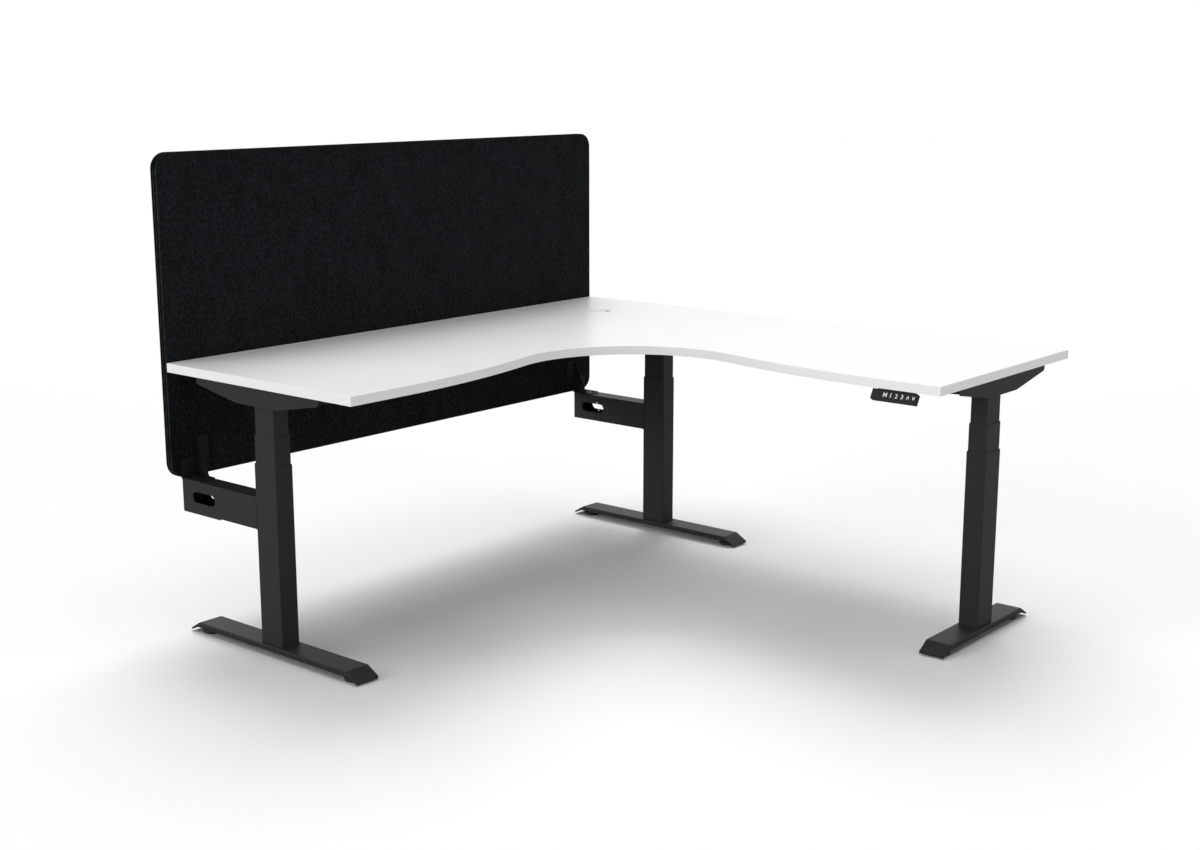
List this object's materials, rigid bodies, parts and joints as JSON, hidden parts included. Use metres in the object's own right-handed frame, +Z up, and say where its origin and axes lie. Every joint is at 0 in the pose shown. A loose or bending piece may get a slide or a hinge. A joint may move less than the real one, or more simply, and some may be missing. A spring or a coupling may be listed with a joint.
{
  "type": "height-adjustable corner desk",
  "caption": "Height-adjustable corner workstation: curved L-shaped worktop on telescopic legs, handset under the return arm, felt privacy screen on arms behind.",
  "frame": {"origin": "on the floor at the centre of the whole outline, screen included", "axes": "+Z up, +Y towards the privacy screen, +X towards the return arm's side; the return arm runs towards -Y"},
  "size_m": [1.8, 1.828, 1.345],
  "materials": {
    "white_board": "smooth matt white melamine on chipboard",
    "white_edge": "matt light grey-white edge band",
    "port_plastic": "fine matt white moulding",
    "black_coat": "fine-textured satin charcoal powder coat",
    "guide_plastic": "black slide plastic",
    "bright_steel": "turned steel",
    "zinc_fasteners": "zinc-plated",
    "felt": "pressed felt, near black with a fine vertical mottle",
    "motor_metal": "die-cast",
    "case_plastic": "fine matt black moulding",
    "socket_plastic": "black moulding",
    "key_plastic": "matt black key",
    "glide_plastic": "black nylon"
  },
  "bodies": {
    "base": {"left_foot": "black_coat", "corner_foot": "black_coat", "left_outer_tube": "black_coat", "corner_outer_tube": "black_coat", "base_pipes": "bright_steel", "outer_guides": "guide_plastic", "foot_bolts": "zinc_fasteners", "left_screen_arm": "black_coat", "corner_screen_arm": "black_coat", "screen_brackets": "black_coat", "screen_front_ply": "felt", "screen_rear_ply": "felt", "bracket_screws": "black_coat"},
    "left_mid": {"left_middle_tube": "black_coat", "left_middle_guides": "guide_plastic", "left_stage_screw": "bright_steel"},
    "corner_mid": {"corner_middle_tube": "black_coat", "corner_middle_guides": "guide_plastic", "corner_stage_screw": "bright_steel"},
    "right_mid": {"right_middle_tube": "black_coat", "right_middle_guides": "guide_plastic", "right_stage_screw": "bright_steel"},
    "right_base": {"right_foot": "black_coat", "right_outer_tube": "black_coat", "right_outer_guide": "guide_plastic", "right_base_pipe": "bright_steel", "right_foot_bolts": "zinc_fasteners"},
    "desktop": {"worktop": "white_board", "edge_band": "white_edge", "port_ring": "port_plastic", "left_side_bracket": "black_coat", "corner_side_bracket": "black_coat", "right_side_bracket": "black_coat", "under_rails": "black_coat", "left_inner_tube": "black_coat", "corner_inner_tube": "black_coat", "right_inner_tube": "black_coat", "inner_guides": "guide_plastic", "gear_motors": "motor_metal", "control_box": "case_plastic", "control_sockets": "socket_plastic", "top_fasteners": "zinc_fasteners", "handset_body": "case_plastic"},
    "port_lid": {"port_lid": "port_plastic"},
    "left_drive": {"left_drive_screw": "bright_steel"},
    "corner_drive": {"corner_drive_screw": "bright_steel"},
    "right_drive": {"right_drive_screw": "bright_steel"},
    "key_memory": {"key_memory": "key_plastic"},
    "key_one": {"key_one": "key_plastic"},
    "key_two": {"key_two": "key_plastic"},
    "key_three": {"key_three": "key_plastic"},
    "key_up": {"key_up": "key_plastic"},
    "key_down": {"key_down": "key_plastic"},
    "left_front_glide": {"left_front_glide": "glide_plastic"},
    "left_back_glide": {"left_back_glide": "glide_plastic"},
    "corner_front_glide": {"corner_front_glide": "glide_plastic"},
    "corner_back_glide": {"corner_back_glide": "glide_plastic"},
    "right_inner_glide": {"right_inner_glide": "glide_plastic"},
    "right_outer_glide": {"right_outer_glide": "glide_plastic"}
  },
  "joints": [
    {"name": "desk_lift", "type": "slide", "parent": "base", "child": "desktop", "axis": [0, 0, 1], "range_m": [-0.15, 0.5]},
    {"name": "left_stage", "type": "slide", "parent": "base", "child": "left_mid", "axis": [0, 0, 1], "range_m": [-0.075, 0.25]},
    {"name": "corner_stage", "type": "slide", "parent": "base", "child": "corner_mid", "axis": [0, 0, 1], "range_m": [-0.075, 0.25]},
    {"name": "right_stage", "type": "slide", "parent": "desktop", "child": "right_mid", "axis": [0, 0, 1], "range_m": [-0.25, 0.075]},
    {"name": "right_leg_foot", "type": "slide", "parent": "right_mid", "child": "right_base", "axis": [0, 0, 1], "range_m": [-0.25, 0.075]},
    {"name": "left_drive_turn", "type": "hinge", "parent": "desktop", "child": "left_drive", "pos_m": [-0.835, 0.526, 0.5], "axis": [0, 0, 1], "range_deg": [-5400, 18000]},
    {"name": "corner_drive_turn", "type": "hinge", "parent": "desktop", "child": "corner_drive", "pos_m": [0.835, 0.526, 0.5], "axis": [0, 0, 1], "range_deg": [-5400, 18000]},
    {"name": "right_drive_turn", "type": "hinge", "parent": "desktop", "child": "right_drive", "pos_m": [0.53, -0.849, 0.5], "axis": [0, 0, 1], "range_deg": [-5400, 18000]},
    {"name": "port_lid_turn", "type": "hinge", "parent": "desktop", "child": "port_lid", "pos_m": [0.644, 0.63, 0.775], "axis": [0, 0, 1], "continuous": true},
    {"name": "key_memory_press", "type": "slide", "parent": "desktop", "child": "key_memory", "axis": [0.866, 0, -0.5], "range_m": [0, 0.0006], "stiffness_N_per_m": 900, "springref_m": -0.0008},
    {"name": "key_one_press", "type": "slide", "parent": "desktop", "child": "key_one", "axis": [0.866, 0, -0.5], "range_m": [0, 0.0006], "stiffness_N_per_m": 900, "springref_m": -0.0008},
    {"name": "key_two_press", "type": "slide", "parent": "desktop", "child": "key_two", "axis": [0.866, 0, -0.5], "range_m": [0, 0.0006], "stiffness_N_per_m": 900, "springref_m": -0.0008},
    {"name": "key_three_press", "type": "slide", "parent": "desktop", "child": "key_three", "axis": [0.866, 0, -0.5], "range_m": [0, 0.0006], "stiffness_N_per_m": 900, "springref_m": -0.0008},
    {"name": "key_up_press", "type": "slide", "parent": "desktop", "child": "key_up", "axis": [0.866, 0, -0.5], "range_m": [0, 0.0006], "stiffness_N_per_m": 900, "springref_m": -0.0008},
    {"name": "key_down_press", "type": "slide", "parent": "desktop", "child": "key_down", "axis": [0.866, 0, -0.5], "range_m": [0, 0.0006], "stiffness_N_per_m": 900, "springref_m": -0.0008},
    {"name": "left_front_glide_screw", "type": "slide", "parent": "base", "child": "left_front_glide", "axis": [0, 0, -1], "range_m": [0, 0.012]},
    {"name": "left_back_glide_screw", "type": "slide", "parent": "base", "child": "left_back_glide", "axis": [0, 0, -1], "range_m": [0, 0.012]},
    {"name": "corner_front_glide_screw", "type": "slide", "parent": "base", "child": "corner_front_glide", "axis": [0, 0, -1], "range_m": [0, 0.012]},
    {"name": "corner_back_glide_screw", "type": "slide", "parent": "base", "child": "corner_back_glide", "axis": [0, 0, -1], "range_m": [0, 0.012]},
    {"name": "right_inner_glide_screw", "type": "slide", "parent": "right_base", "child": "right_inner_glide", "axis": [0, 0, -1], "range_m": [0, 0.012]},
    {"name": "right_outer_glide_screw", "type": "slide", "parent": "right_base", "child": "right_outer_glide", "axis": [0, 0, -1], "range_m": [0, 0.012]}
  ],
  "couplings": [
    {"joint": "left_stage", "follows": "desk_lift", "ratio": 0.5},
    {"joint": "corner_stage", "follows": "desk_lift", "ratio": 0.5},
    {"joint": "right_stage", "follows": "desk_lift", "ratio": -0.5},
    {"joint": "right_leg_foot", "follows": "desk_lift", "ratio": -0.5},
    {"joint": "left_drive_turn", "follows": "desk_lift", "rad_per_m": 628.32},
    {"joint": "corner_drive_turn", "follows": "desk_lift", "rad_per_m": 628.32},
    {"joint": "right_drive_turn", "follows": "desk_lift", "rad_per_m": 628.32}
  ]
}
